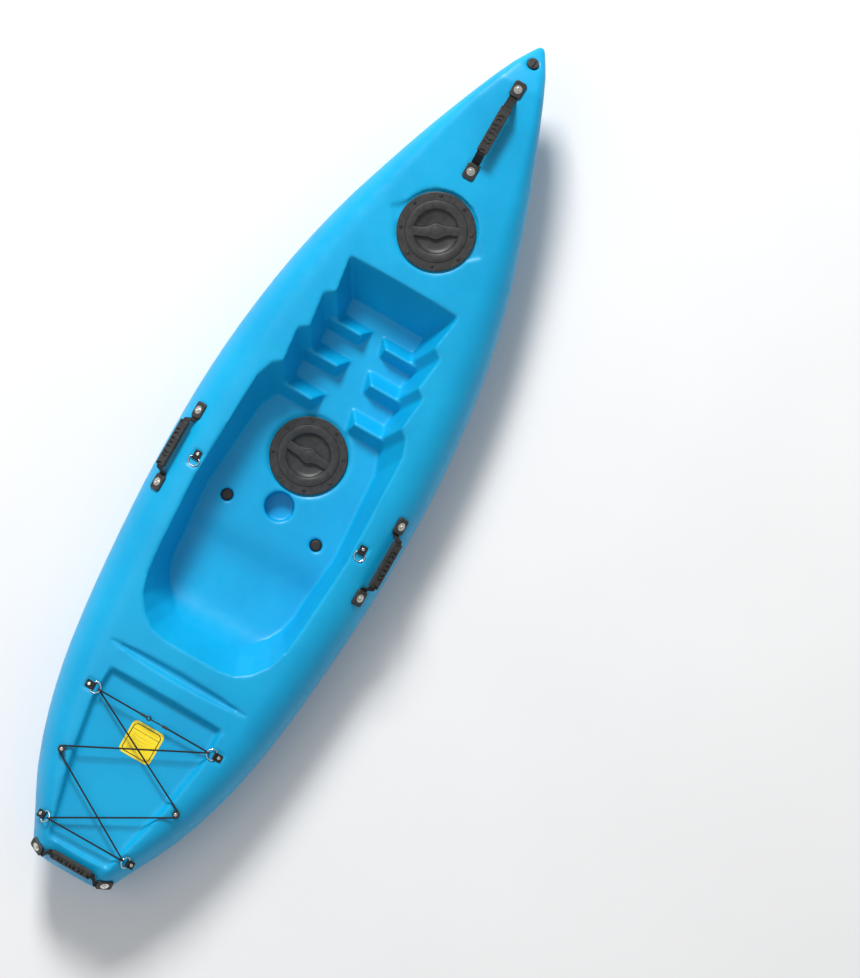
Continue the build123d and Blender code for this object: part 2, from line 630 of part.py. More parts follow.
def drain():
    """Bow drain: a bush in the skin, a threaded plug and its seal."""
    bush = extrude(Circle(DRAIN_RADIUS + 1.5), 2.0)
    bush += Pos(0, 0, -14) * extrude(Circle(DRAIN_BORE + 3.0), 15)
    bush -= Cylinder(DRAIN_BORE, 60)
    seal = Pos(0, 0, 2.0 + 1.5) * Torus(DRAIN_BORE + 2.0, 1.4)
    plug = Pos(0, 0, 5.0) * extrude(Circle(DRAIN_RADIUS), 5.0)
    plug = fillet(plug.edges().group_by(Axis.Z)[-1], 1.5)
    plug += Pos(0, 0, 9.5) * extrude(RectangleRounded(24, 6, 2.5), 5.5)
    plug += Pos(0, 0, -15) * extrude(Circle(DRAIN_BORE - PIN_FIT), 21)
    nodes["drain_plug_bush"] = DRAIN.put(bush)
    nodes["drain_plug_seal"] = DRAIN.put(seal)
    nodes["drain_plug"] = DRAIN.put(plug)


def scupper_plugs():
    for side_name, s in (("port", 1), ("starboard", -1)):
        plug = extrude(Circle(SCUPPER_RADIUS - FIT), PLUG_LENGTH)
        plug = fillet(plug.edges().group_by(Axis.Z)[-1], 8.0)
        plug = chamfer(plug.edges().group_by(Axis.Z)[0], 1.5)
        seat = FLOOR_Z - PLUG_LENGTH - 3.0
        place = Pos(along(SCUPPER_AT[0]), s * across(SCUPPER_AT[1]), seat)
        nodes[side_name + "_scupper_plug"] = place * plug


# ---- handles ----------------------------------------------------------------------
def band(points, width, thick):
    """A flat strap through points, its width always along y."""
    frames = []
    last = len(points) - 1
    across_strap = Vector(0, width / 2, 0)
    for i, point in enumerate(points):
        run = points[min(i + 1, last)] - points[max(i - 1, 0)]
        lift = Vector(-run.Z, 0, run.X).normalized() * (thick / 2)
        corners = [
            point + across_strap + lift, point - across_strap + lift,
            point - across_strap - lift, point + across_strap - lift,
        ]
        frames.append(Wire.make_polygon(corners, close=True))
    return Solid.make_loft(frames, ruled=True)


def handle(name, frame, span, grip_length, rise, lean, tilt):
    """A carry handle: two screwed end caps, a webbing strap and a moulded grip."""
    caps, screws, washers, inserts = [], [], [], []
    tilt_angle = math.radians(tilt)
    arch = Vector(0, math.sin(tilt_angle), math.cos(tilt_angle)) * rise
    slot = STRAP_THICK + 2 * FIT
    half_grip = grip_length / 2
    leg = {}
    for s in (1, -1):
        seat = cap_seat(span, lean, s)
        cap = extrude(RectangleRounded(CAP_LENGTH, CAP_WIDTH, 8.0), CAP_THICK)
        cap = fillet(cap.edges().group_by(Axis.Z)[-1], 3.0)
        reach = CAP_LENGTH / 2 + 11.0
        cap -= Pos(11.0 - reach / 2, 0, slot / 2 - 0.01) * Box(reach, STRAP_WIDTH + 2 * FIT, slot)
        cap -= Cylinder(SCREW_SHANK + 0.2, 60)
        cap -= Pos(0, 0, CAP_THICK) * Cylinder(WASHER_RADIUS + FIT, 2 * WASHER_THICK)
        washer_z = CAP_THICK - WASHER_THICK
        washer = Pos(0, 0, washer_z) * extrude(
            Circle(WASHER_RADIUS) - Circle(SCREW_SHANK + 0.2), WASHER_THICK
        )
        head = Pos(0, 0, CAP_THICK) * extrude(Circle(SCREW_HEAD), 3.6)
        head = fillet(head.edges().group_by(Axis.Z)[-1], 2.0)
        head -= Pos(0, 0, CAP_THICK + 3.2) * Cylinder(2.4, 3.0)
        screw = head + Pos(0, 0, -11) * extrude(Circle(SCREW_SHANK), 11.5 + CAP_THICK)
        insert = Pos(0, 0, -INSERT_LENGTH) * extrude(Circle(INSERT_RADIUS), INSERT_LENGTH)
        insert -= Pos(0, 0, -12) * extrude(Circle(SCREW_SHANK + PIN_FIT), 13)
        caps.append(seat.put(cap))
        washers.append(seat.put(washer))
        screws.append(seat.put(screw))
        inserts.append(seat.put(insert))
        inner = -CAP_LENGTH / 2
        path = [seat.plane.from_local_coords(Vector(u, 0, w)) for u, w in (
            (9.0, slot / 2), (inner - 1, slot / 2), (inner - 6, slot / 2 + 2.5),
        )]
        end = Vector(s * (half_grip + 8), 0, 0) + arch - Vector(0, 0, 2.5)
        path += [path[-1] * 0.5 + end * 0.5, end, Vector(s * (half_grip - 1), 0, 0) + arch]
        leg[s] = path
    strap = band(leg[-1] + list(reversed(leg[1])), STRAP_WIDTH, STRAP_THICK)
    holes = [cap_seat(span, lean, s).put(Cylinder(SCREW_SHANK + 0.3, 12)) for s in (1, -1)]
    strap = strap - holes
    grip = Box(grip_length, GRIP_WIDTH, GRIP_THICK)
    grip = fillet(grip.edges().filter_by(Axis.X), 4.8)
    grip -= Box(grip_length + 20, STRAP_WIDTH + 2 * FIT, slot)
    for s in (1, -1):
        grip -= Pos(s * (half_grip + 2), 0, 6.0) * Cylinder(12.5, 12)
    grip = Pos(*arch) * grip
    nodes[name + "_handle_caps"] = frame.put(Compound(children=caps))
    nodes[name + "_handle_washers"] = frame.put(Compound(children=washers))
    nodes[name + "_handle_screws"] = frame.put(Compound(children=screws))
    nodes[name + "_handle_strap"] = frame.put(strap)
    nodes[name + "_handle_grip"] = frame.put(grip)
    return [frame.put(insert) for insert in inserts]


# ---- tie rings, nubs and shock cord -------------------------------------------------
def ring_tab():
    """A folded tab: a screwed plate with a sleeve that holds the ring's straight side."""
    sleeve_r = RING_WIRE + 2.6
    length = TAB_BACK + SLEEVE_AT
    plate = extrude(RectangleRounded(length, TAB_WIDTH, 3), TAB_THICK)
    tab = Pos(length / 2 - TAB_BACK, 0, 0) * plate
    tab += Pos(SLEEVE_AT, 0, sleeve_r) * Rot(90, 0, 0) * Cylinder(sleeve_r, TAB_WIDTH)
    tab += Pos(SLEEVE_AT - 1, 0, sleeve_r / 2) * Box(6, TAB_WIDTH, sleeve_r)
    bore = Cylinder(RING_WIRE + PIN_FIT, TAB_WIDTH + 5)
    tab -= Pos(SLEEVE_AT, 0, sleeve_r) * Rot(90, 0, 0) * bore
    tab -= Cylinder(SCREW_SHANK + 0.2, 30)
    return tab, sleeve_r


def tie_ring():
    """A D-shaped wire ring, flat, with its straight side at the origin along y."""
    w, r = RING_INNER, RING_REACH
    path = FilletPolyline(
        (0, w / 2, 0), (0, w, 0), (r * 0.55, w, 0), (r, w * 0.42, 0),
        (r, -w * 0.42, 0), (r * 0.55, -w, 0), (0, -w, 0), (0, -w / 2, 0),
        radius=[3.0, 6.0, 6.0, 6.0, 6.0, 3.0],
    )
    start = Plane(origin=(0, w / 2, 0), z_dir=(0, 1, 0))
    bow = sweep(start * Circle(RING_WIRE), path=path)
    return bow + Rot(90, 0, 0) * Cylinder(RING_WIRE, w)


def short_screw(grip_height):
    head = Pos(0, 0, grip_height) * extrude(Circle(5.0), 2.8)
    head = fillet(head.edges().group_by(Axis.Z)[-1], 1.5)
    head -= Pos(0, 0, grip_height + 2.6) * Cylinder(2.0, 2.4)
    return head + Pos(0, 0, -9) * extrude(Circle(SCREW_SHANK), 9.5 + grip_height)


def short_insert():
    insert = Pos(0, 0, -INSERT_LENGTH) * extrude(Circle(INSERT_RADIUS), INSERT_LENGTH)
    return insert - Pos(0, 0, -10) * extrude(Circle(SCREW_SHANK + PIN_FIT), 12)


def rings():
    tab, sleeve_r = ring_tab()
    screws, inserts = [], []
    for name, seat, lift in RING_SEATS:
        place = Pos(SLEEVE_AT, 0, sleeve_r) * Rot(0, -lift, 0)
        nodes[name + "_tab"] = seat.put(tab)
        nodes[name] = seat.put(place * tie_ring())
        screws.append(seat.put(short_screw(TAB_THICK)))
        inserts.append(seat.put(short_insert()))
    for side_name, seat in NUB_SEATS:
        bore = SCREW_SHANK + 0.2
        outline = [
            (bore, 0), (NUB_RADIUS, 0), (NUB_RADIUS, 3.0), (NUB_WAIST, 4.5),
            (NUB_WAIST, NUB_HEIGHT - 3.5), (NUB_RADIUS, NUB_HEIGHT - 2),
            (NUB_RADIUS, NUB_HEIGHT), (bore, NUB_HEIGHT),
        ]
        nub = revolve(Plane.XZ * Polygon(*outline, align=None), Axis.Z)
        nodes[side_name + "_cord_nub"] = seat.put(nub)
        screws.append(seat.put(short_screw(NUB_HEIGHT)))
        inserts.append(seat.put(short_insert()))
    nodes["tab_screws"] = Compound(children=screws)
    return inserts


# The shock cord's route, from the hook's sleeve to the eye's sleeve: round the
# starboard front ring, the port nub, the rear rings, the starboard nub and the port
# front ring. Each corner has its own arc, the size of the wire or waist it goes round.
ROUND_WIRE = 4.4
ROUND_NUB = 9.0
CORD_ROUTE = [
    ((-839.0, -46.0, 254.9), None),
    ((-839.0, -178.4, 251.4), ROUND_WIRE), ((-839.0, -178.4, 260.2), ROUND_WIRE),
    ((-1029.0, 193.5, 259.0), ROUND_NUB), ((-1040.0, 193.5, 259.0), ROUND_NUB),
    ((-1223.0, -124.0, 256.4), ROUND_WIRE), ((-1223.0, -124.0, 247.6), ROUND_WIRE),
    ((-1223.0, 124.0, 256.4), ROUND_WIRE), ((-1223.0, 124.0, 247.6), ROUND_WIRE),
    ((-1040.0, -193.5, 258.8), ROUND_NUB), ((-1029.0, -193.5, 258.8), ROUND_NUB),
    ((-839.0, 178.4, 251.4), ROUND_WIRE), ((-839.0, 178.4, 260.2), ROUND_WIRE),
    ((-839.0, 42.0, 256.9), None),
]


def cord_tube(points, radii, radius):
    """A tube along straight runs joined by tangent arcs."""
    path = FilletPolyline(*points, radius=radii)
    run = Vector(*points[1]) - Vector(*points[0])
    tube = sweep(Plane(origin=points[0], z_dir=run) * Circle(radius), path=path)
    print("length", round(path.length, 1), "radii", radii)
    print("volume", round(tube.volume), "section times length",
          round(math.pi * radius ** 2 * path.length))
    return tube


def shock_cord():
    """The cord, a sleeve on each end, and the hook and eye that close it."""
    points = [point for point, radius in CORD_ROUTE]
    radii = [radius for point, radius in CORD_ROUTE if radius]
    nodes["shock_cord"] = cord_tube(points, radii, CORD_RADIUS)
    x, hook_y, z = points[0]
    eye_y = points[-1][1]
    sleeve = Rot(90, 0, 0) * Cylinder(SLEEVE_RADIUS, SLEEVE_LENGTH)
    hook_end = Pos(x, hook_y + SLEEVE_LENGTH / 2 + FIT, z) * sleeve
    eye_end = Pos(x, eye_y - SLEEVE_LENGTH / 2 - FIT, points[-1][2]) * sleeve
    nodes["shock_cord_sleeves"] = Compound(children=[hook_end, eye_end])
    rim = eye_y - SLEEVE_LENGTH - 2 * FIT - EYE_WIRE - EYE_RADIUS
    eye_z = points[-1][2]
    nodes["shock_cord_eye"] = Pos(x, rim, eye_z) * Torus(EYE_RADIUS, EYE_WIRE)
    over = EYE_WIRE + HOOK_WIRE + FIT
    near = rim - EYE_RADIUS
    start = hook_y + SLEEVE_LENGTH + 2 * FIT
    path = FilletPolyline(
        (x, start, z), (x, start + 9, z), (x, start + 20, eye_z + over),
        (x, near + over, eye_z + over), (x, near + over, eye_z - over),
        (x, near - 9, eye_z - over), radius=[6.0, 6.0, over - 0.05, over - 0.05],
    )
    wire = Plane(origin=(x, start, z), z_dir=(0, 1, 0)) * Circle(HOOK_WIRE)
    nodes["shock_cord_hook"] = sweep(wire, path=path)


def label():
    x = along(LABEL_AT)
    rise = tank_floor_z(x + 10) - tank_floor_z(x - 10)
    slope = Vector(20, 0, rise).normalized()
    seat = Seat((x, 0, tank_floor_z(x)), slope, Vector(-slope.Z, 0, slope.X))
    nodes["deck_label"] = seat.put(extrude(RectangleRounded(LABEL_SIZE, LABEL_SIZE, 14), LABEL_THICK))


def main():
    os.makedirs("parts", exist_ok=True)
    hatch("bow_hatch", BOW_HATCH, BOW_BAR_TURN)
    hatch("cockpit_hatch", COCKPIT_HATCH, COCKPIT_BAR_TURN)
    drain()
    scupper_plugs()
    inserts = []
    for spec in HANDLES:
        inserts += handle(*spec)
    inserts += rings()
    nodes["threaded_inserts"] = Compound(children=inserts)
    shock_cord()
    label()
    nodes["hull"] = make_hull()
    for name, shape in nodes.items():
        export_step(shape, f"parts/{name}.step")
    print(len(nodes), "nodes")


if __name__ == "__main__":
    main()
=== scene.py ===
# %% [markdown]
# # A moulded sit-on-top kayak
#
# This lesson dresses a finished mechanical model of a small kayak: a hollow plastic
# hull with two screw-in hatches, four carry handles, tie rings and a laced cord. The
# frame brings every hard part at its true size, and each cell below adds one piece or
# one finish. Units are metres. X runs to the bow, Y to port and Z up.

# %% Load the frame
import bpy
import json
import math
from mathutils import Matrix, Vector


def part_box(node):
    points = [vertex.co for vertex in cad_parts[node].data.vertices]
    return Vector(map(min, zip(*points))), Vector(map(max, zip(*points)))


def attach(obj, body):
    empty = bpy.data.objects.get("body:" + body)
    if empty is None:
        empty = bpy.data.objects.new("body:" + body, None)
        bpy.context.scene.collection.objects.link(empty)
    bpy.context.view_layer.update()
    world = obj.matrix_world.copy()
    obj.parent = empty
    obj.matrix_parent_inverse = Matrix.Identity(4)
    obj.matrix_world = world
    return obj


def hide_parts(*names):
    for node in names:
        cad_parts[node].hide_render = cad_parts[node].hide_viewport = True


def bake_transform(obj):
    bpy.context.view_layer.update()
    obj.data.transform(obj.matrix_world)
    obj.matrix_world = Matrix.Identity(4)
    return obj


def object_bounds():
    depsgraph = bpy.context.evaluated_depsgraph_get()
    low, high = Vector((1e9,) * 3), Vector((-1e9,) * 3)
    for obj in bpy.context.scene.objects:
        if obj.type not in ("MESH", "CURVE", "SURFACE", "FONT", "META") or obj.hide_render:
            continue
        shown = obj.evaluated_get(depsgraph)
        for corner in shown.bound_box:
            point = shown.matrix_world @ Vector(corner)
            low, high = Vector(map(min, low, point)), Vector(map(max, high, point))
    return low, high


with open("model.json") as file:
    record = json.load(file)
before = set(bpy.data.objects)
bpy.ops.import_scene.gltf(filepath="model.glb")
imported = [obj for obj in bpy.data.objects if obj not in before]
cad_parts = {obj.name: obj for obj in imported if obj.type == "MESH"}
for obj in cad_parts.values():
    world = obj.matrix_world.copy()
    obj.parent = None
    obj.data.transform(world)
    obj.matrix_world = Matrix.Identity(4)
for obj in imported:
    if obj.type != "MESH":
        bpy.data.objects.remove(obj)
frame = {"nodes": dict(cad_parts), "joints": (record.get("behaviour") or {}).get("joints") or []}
CAD_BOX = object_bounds()
print("CAD box", [[round(v, 4) for v in corner] for corner in CAD_BOX])

# %% [markdown]
# ## Camera and light first
#
# The kayak is looked at from straight above, with its bow up and to the right. Placing
# the camera before any modelling shows which surfaces matter most. A long lens keeps
# the sides from flaring, as a distant viewer would see them.

# %% Camera
VIEW_HEIGHT = 14.0
VIEW_WIDE = 2.749
LOOKED_AT = (0.1105, -0.3450)
HEADING = math.radians(30)
SENSOR = 24.0

camera_data = bpy.data.cameras.new("camera")
camera = bpy.data.objects.new("camera", camera_data)
bpy.context.scene.collection.objects.link(camera)
camera.location = (*LOOKED_AT, VIEW_HEIGHT + 0.2)
camera.rotation_euler = (0, 0, -(math.pi / 2 - HEADING))
camera_data.sensor_fit = "VERTICAL"
camera_data.sensor_height = SENSOR
camera_data.lens = SENSOR * VIEW_HEIGHT / VIEW_WIDE
camera_data.clip_end = 60.0
bpy.context.scene.camera = camera
print("lens", round(camera_data.lens, 1), "mm")

# %% [markdown]
# A big soft lamp stands off the bow, so every face turned to the bow is bright and
# every face turned to the stern falls into shade. That is what makes the wells read.
# A weaker lamp over the stern and a pale world fill the shadows.

# %% Lamps and world
BOW_LAMP_POWER = 1660
FILL_LAMP_POWER = 45
WORLD_STRENGTH = 0.40


def lamp(name, place, size, power, aim=(0.0, 0.0, 0.1)):
    data = bpy.data.lights.new(name, "AREA")
    data.size = size
    data.energy = power
    obj = bpy.data.objects.new(name, data)
    bpy.context.scene.collection.objects.link(obj)
    obj.location = place
    direction = Vector(aim) - Vector(place)
    obj.rotation_euler = direction.to_track_quat("-Z", "Y").to_euler()


lamp("bow_lamp", (7.8, 5.9, 8.1), 3.2, BOW_LAMP_POWER, (0.1, -0.35, 0.1))
lamp("fill_lamp", (-2.0, 2.5, 6.0), 3.5, FILL_LAMP_POWER)
world = bpy.data.worlds.new("studio")
world.use_nodes = True
sky = world.node_tree.nodes["Background"]
sky.inputs["Color"].default_value = (0.97, 0.98, 1.0, 1)
sky.inputs["Strength"].default_value = WORLD_STRENGTH
bpy.context.scene.world = world
bpy.context.scene.view_settings.view_transform = "Standard"

# %% [markdown]
# ## Finishes
#
# Every finish is a small node network. A helper makes the material and hands back its
# shader, and two more add a patchy colour and a fine relief. Patterns are laid out in
# object coordinates, which are metres here, so a scale of 400 means a grain of about
# two millimetres. Numbers that are the same all over sit on the shader itself.

# %% Helpers for finishes
def finish(name, roughness, metallic=0.0, coat=0.0):
    material = bpy.data.materials.new(name)
    material.use_nodes = True
    shader = material.node_tree.nodes["Principled BSDF"]
    shader.inputs["Roughness"].default_value = roughness
    shader.inputs["Metallic"].default_value = metallic
    shader.inputs["Coat Weight"].default_value = coat
    return material, shader


def node(material, kind, **settings):
    made = material.node_tree.nodes.new(kind)
    for key, value in settings.items():
        setattr(made, key, value)
    return made


def noise(material, scale, detail=3.0, source="Object", stretch=(1, 1, 1)):
    spot = node(material, "ShaderNodeTexCoord")
    mapping = node(material, "ShaderNodeMapping")
    mapping.inputs["Scale"].default_value = stretch
    made = node(material, "ShaderNodeTexNoise")
    made.inputs["Scale"].default_value = scale
    made.inputs["Detail"].default_value = detail
    material.node_tree.links.new(spot.outputs[source], mapping.inputs["Vector"])
    material.node_tree.links.new(mapping.outputs["Vector"], made.inputs["Vector"])
    return made.outputs["Fac"]


def ramp(material, value, low, high, start=0.35, end=0.65):
    made = node(material, "ShaderNodeValToRGB")
    made.color_ramp.elements[0].position = start
    made.color_ramp.elements[1].position = end
    made.color_ramp.elements[0].color = low
    made.color_ramp.elements[1].color = high
    material.node_tree.links.new(value, made.inputs["Fac"])
    return made.outputs["Color"]


def relief(material, shader, height, depth, strength=0.3):
    made = node(material, "ShaderNodeBump")
    made.inputs["Distance"].default_value = depth
    made.inputs["Strength"].default_value = strength
    material.node_tree.links.new(height, made.inputs["Height"])
    material.node_tree.links.new(made.outputs["Normal"], shader.inputs["Normal"])
    return made


def grey(value):
    return (value, value, value, 1)


print("finish helpers ready")

# %% [markdown]
# Rotationally moulded polyethylene has a satin skin. Powder melts unevenly against the
# mould, so the blue drifts a little from patch to patch, the shine drifts with it, and
# a very fine orange peel covers everything.

# %% Moulded blue polyethylene
moulded_blue, shader = finish("moulded_blue", 0.34)
shader.inputs["Specular IOR Level"].default_value = 0.36
patches = noise(moulded_blue, 5.0, 4.0)
tint = ramp(moulded_blue, patches, (0.001, 0.345, 0.640, 1), (0.002, 0.390, 0.700, 1))
moulded_blue.node_tree.links.new(tint, shader.inputs["Base Color"])
shine = ramp(moulded_blue, noise(moulded_blue, 38.0, 5.0), grey(0.34), grey(0.46))
moulded_blue.node_tree.links.new(shine, shader.inputs["Roughness"])
relief(moulded_blue, shader, noise(moulded_blue, 260.0, 2.0), 0.0006, 0.12)
print(moulded_blue.name)

# %% [markdown]
# The black fittings are injection moulded and a touch grey, with a spark-eroded grain.
# Rubber is darker and duller. Both use the same network with different numbers.

# %% Black plastic and rubber
def black_finish(name, dark, light, roughness, grain, depth):
    material, shader = finish(name, roughness)
    tone = ramp(material, noise(material, 60.0, 3.0), dark, light)
    material.node_tree.links.new(tone, shader.inputs["Base Color"])
    relief(material, shader, noise(material, grain, 2.0), depth, 0.25)
    return material


grained_black = black_finish("grained_black", grey(0.020), grey(0.034), 0.46, 1400.0, 0.0002)
soft_rubber = black_finish("soft_rubber", grey(0.010), grey(0.018), 0.62, 900.0, 0.0002)
print(grained_black.name, soft_rubber.name)

# %% [markdown]
# Screws, washers and rings are bright stainless steel. Fine streaks in its roughness
# keep it from looking like a mirror. The hatch screws are the same steel blackened, and
# the inserts in the hull are brass.

# %% Metals
def metal_finish(name, low, high, roughness):
    material, shader = finish(name, roughness, metallic=1.0)
    tone = ramp(material, noise(material, 90.0, 2.0), low, high)
    material.node_tree.links.new(tone, shader.inputs["Base Color"])
    streaks = noise(material, 700.0, 2.0, stretch=(1, 1, 0.15))
    rough = ramp(material, streaks, grey(roughness - 0.06), grey(roughness + 0.08))
    material.node_tree.links.new(rough, shader.inputs["Roughness"])
    return material


bright_steel = metal_finish("bright_steel", (0.72, 0.70, 0.64, 1), (0.86, 0.84, 0.79, 1), 0.24)
black_steel = metal_finish("black_steel", grey(0.05), grey(0.09), 0.38)
plain_brass = metal_finish("plain_brass", (0.62, 0.44, 0.18, 1), (0.74, 0.55, 0.26, 1), 0.30)
print(bright_steel.name, black_steel.name, plain_brass.name)

# %% [markdown]
# Webbing is woven flat. Two waves, one along the band and one across it, make the rows
# of small ribs, and they follow the band because they read its own UV map. The cord has
# a braided cover, drawn with slanting waves.

# %% Webbing and braid
def woven(name, source, along, across, tone_low, tone_high, depth):
    material, shader = finish(name, 0.82)
    spot = node(material, "ShaderNodeTexCoord")
    waves = []
    for count, direction in ((along, "X"), (across, "Y")):
        wave = node(material, "ShaderNodeTexWave", bands_direction=direction)
        wave.inputs["Scale"].default_value = count
        wave.inputs["Distortion"].default_value = 0.4
        material.node_tree.links.new(spot.outputs[source], wave.inputs["Vector"])
        waves.append(wave.outputs["Fac"])
    cross = node(material, "ShaderNodeMath", operation="MULTIPLY")
    material.node_tree.links.new(waves[0], cross.inputs[0])
    material.node_tree.links.new(waves[1], cross.inputs[1])
    tone = ramp(material, cross.outputs["Value"], tone_low, tone_high, 0.1, 0.8)
    material.node_tree.links.new(tone, shader.inputs["Base Color"])
    relief(material, shader, cross.outputs["Value"], depth, 0.6)
    return material


webbing = woven("webbing", "UV", 30.0, 5.0, grey(0.006), grey(0.022), 0.0005)
tab_webbing = woven("tab_webbing", "Object", 220.0, 220.0, grey(0.008), grey(0.026), 0.0004)
braid = woven("braid", "Object", 160.0, 160.0, grey(0.006), grey(0.024), 0.0005)
print(webbing.name, tab_webbing.name, braid.name)

# %% [markdown]
# The floor is a plain pale sheet just under the keel. It is part of the studio, not of
# the kayak, so it is only staged.

# %% Floor
FLOOR_GAP = 0.0005

bpy.ops.mesh.primitive_plane_add(size=60, location=(0, 0, CAD_BOX[0][2] - FLOOR_GAP))
floor = bpy.context.object
floor.name = "floor"
pale, shader = finish("pale_floor", 0.9)
shade = ramp(pale, noise(pale, 1.5), grey(0.86), grey(0.88))
pale.node_tree.links.new(shade, shader.inputs["Base Color"])
floor.data.materials.append(pale)
print("floor at", round(floor.location.z, 4))

# %% [markdown]
# ## The shock cord
#
# An elastic cord is laced from ring to nub to ring across the stern well. It is under
# tension, so its runs are dead straight and it only bends where it goes round steel or
# plastic. Two points close beside each bend keep the bend short, and the smooth curve
# through them stays straight in between.

# %% Shock cord
CORD_THICK = 0.005
CORD_POINTS = [
    (-0.8390, -0.0460, 0.2549), (-0.8390, -0.1700, 0.2516), (-0.8390, -0.1784, 0.2514),
    (-0.8390, -0.1784, 0.2602), (-0.8426, -0.1709, 0.2602),
    (-1.0236, 0.1828, 0.2590), (-1.0290, 0.1935, 0.2590),
    (-1.0400, 0.1935, 0.2590), (-1.0460, 0.1831, 0.2590),
    (-1.2190, -0.1171, 0.2564), (-1.2230, -0.1240, 0.2564),
    (-1.2230, -0.1240, 0.2476), (-1.2230, -0.1160, 0.2479),
    (-1.2230, 0.1160, 0.2561), (-1.2230, 0.1240, 0.2564),
    (-1.2230, 0.1240, 0.2476), (-1.2190, 0.1171, 0.2478),
    (-1.0460, -0.1831, 0.2585), (-1.0400, -0.1935, 0.2588),
    (-1.0290, -0.1935, 0.2588), (-1.0236, -0.1828, 0.2586),
    (-0.8426, 0.1709, 0.2515), (-0.8390, 0.1784, 0.2514),
    (-0.8390, 0.1784, 0.2602), (-0.8390, 0.1700, 0.2600),
    (-0.8390, 0.0420, 0.2569),
]
cord_line = bpy.data.curves.new("laced_cord", "CURVE")
cord_line.dimensions = "3D"
cord_line.resolution_u = 10
cord_line.bevel_depth = CORD_THICK / 2
cord_line.bevel_resolution = 4
cord_line.use_fill_caps = True
spline = cord_line.splines.new("NURBS")
spline.points.add(len(CORD_POINTS) - 1)
for point, place in zip(spline.points, CORD_POINTS):
    point.co = (*place, 1)
spline.order_u = 3
spline.use_endpoint_u = True
laced_cord = bpy.data.objects.new("laced_cord", cord_line)
bpy.context.scene.collection.objects.link(laced_cord)
laced_cord.data.materials.append(braid)
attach(laced_cord, "hull")
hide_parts("shock_cord")
print("cord points", len(CORD_POINTS))

# %% [markdown]
# ## Working tools
#
# A few short helpers do what a modeller does by hand over and over: start clean, add an
# outline, pull it up into a block, apply a modifier, and finish a piece.

# %% Modelling helpers
def start_clean():
    """Back to object mode with nothing selected."""
    if bpy.context.object and bpy.context.object.mode != "OBJECT":
        bpy.ops.object.mode_set(mode="OBJECT")
    bpy.ops.object.select_all(action="DESELECT")


def pick(obj):
    start_clean()
    obj.select_set(True)
    bpy.context.view_layer.objects.active = obj


def edit(obj):
    pick(obj)
    bpy.ops.object.mode_set(mode="EDIT")
    bpy.ops.mesh.select_all(action="SELECT")


def modify(obj, kind, **settings):
    pick(obj)
    made = obj.modifiers.new(kind.lower(), kind)
    for key, value in settings.items():
        setattr(made, key, value)
    bpy.ops.object.modifier_apply(modifier=made.name)


def block(name, outline, low, high):
    """A disc primitive whose rim follows outline, pulled up from low to high."""
    start_clean()
    bpy.ops.mesh.primitive_circle_add(vertices=len(outline), radius=1, fill_type="NGON")
    obj = bpy.context.object
    obj.name = name
    for vertex, (x, y) in zip(obj.data.vertices, outline):
        vertex.co = (x, y, low)
    edit(obj)
    bpy.ops.mesh.extrude_region_move(TRANSFORM_OT_translate={"value": (0, 0, high - low)})
    bpy.ops.mesh.select_all(action="SELECT")
    bpy.ops.mesh.normals_make_consistent(inside=False)
    start_clean()
    return obj


def join(parts, name):
    start_clean()
    for part in parts:
        part.select_set(True)
    bpy.context.view_layer.objects.active = parts[0]
    bpy.ops.object.join()
    parts[0].name = name
    return parts[0]


def cut(obj, tool):
    modify(obj, "BOOLEAN", operation="DIFFERENCE", object=tool, solver="EXACT")
    bpy.data.objects.remove(tool)


def settle(obj, matrix, body, material, angle=35):
    """Puts a local piece in its place, smooths it and, if body is given, fastens it there."""
    obj.data.transform(matrix)
    obj.data.update()
    pick(obj)
    bpy.ops.object.shade_smooth_by_angle(angle=math.radians(angle))
    obj.data.materials.clear()
    obj.data.materials.append(material)
    if body:
        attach(obj, body)
    return obj


def arc(x, y, radius, start, stop, steps):
    """Points round a circle from start to stop, in degrees."""
    points = []
    for i in range(steps):
        angle = math.radians(start + (stop - start) * i / (steps - 1))
        points.append((x + radius * math.cos(angle), y + radius * math.sin(angle)))
    return points


print("modelling helpers ready")

# %% [markdown]
# ## The hull
#
# A kayak like this is one hollow plastic casting, and no edge of it is sharp: plastic
# cannot fill a sharp corner of a mould. The mechanical hull has crisp edges, so a copy
# of it is rebuilt as an even grid of small cells and then relaxed a few times, which
# rounds every edge at once.
#
# Cells can only rebuild a wall that is thicker than they are. So the lining of the
# hull, which nobody sees, first steps inward. A point belongs to the lining if it sees
# hull in all six directions, or if it lies in the pit under one of the hatches.

# %% Find the lining
from mathutils.bvhtree import BVHTree

LINING_STEP = 0.007
PIT_RADIUS = 0.11
PIT_TOP = 0.012
SIX_WAYS = [(0, 0, 1), (0, 0, -1), (0, 1, 0), (0, -1, 0), (1, 0, 0), (-1, 0, 0)]

hull_skin = bpy.data.objects.new("hull_skin", frame["nodes"]["hull"].data.copy())
bpy.context.scene.collection.objects.link(hull_skin)
modify(hull_skin, "WELD", merge_threshold=0.00001)
mesh = hull_skin.data
tree = BVHTree.FromPolygons([v.co for v in mesh.vertices], [p.vertices for p in mesh.polygons])
pits = []
for hatch in ("bow_hatch", "cockpit_hatch"):
    low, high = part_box(hatch + "_ring")
    pits.append(((low + high) / 2, low.z + PIT_TOP))


def sees_hull(start, way):
    return tree.ray_cast(start, Vector(way))[0] is not None


def in_lining(vertex):
    start = vertex.co + vertex.normal * 0.001
    blocked = [sees_hull(start, way) for way in SIX_WAYS[:2]]
    if not blocked[1]:
        return False
    for middle, level in pits:
        if (vertex.co - middle).xy.length < PIT_RADIUS and vertex.co.z < level:
            return True
    return blocked[0] and all(sees_hull(start, way) for way in SIX_WAYS[2:])


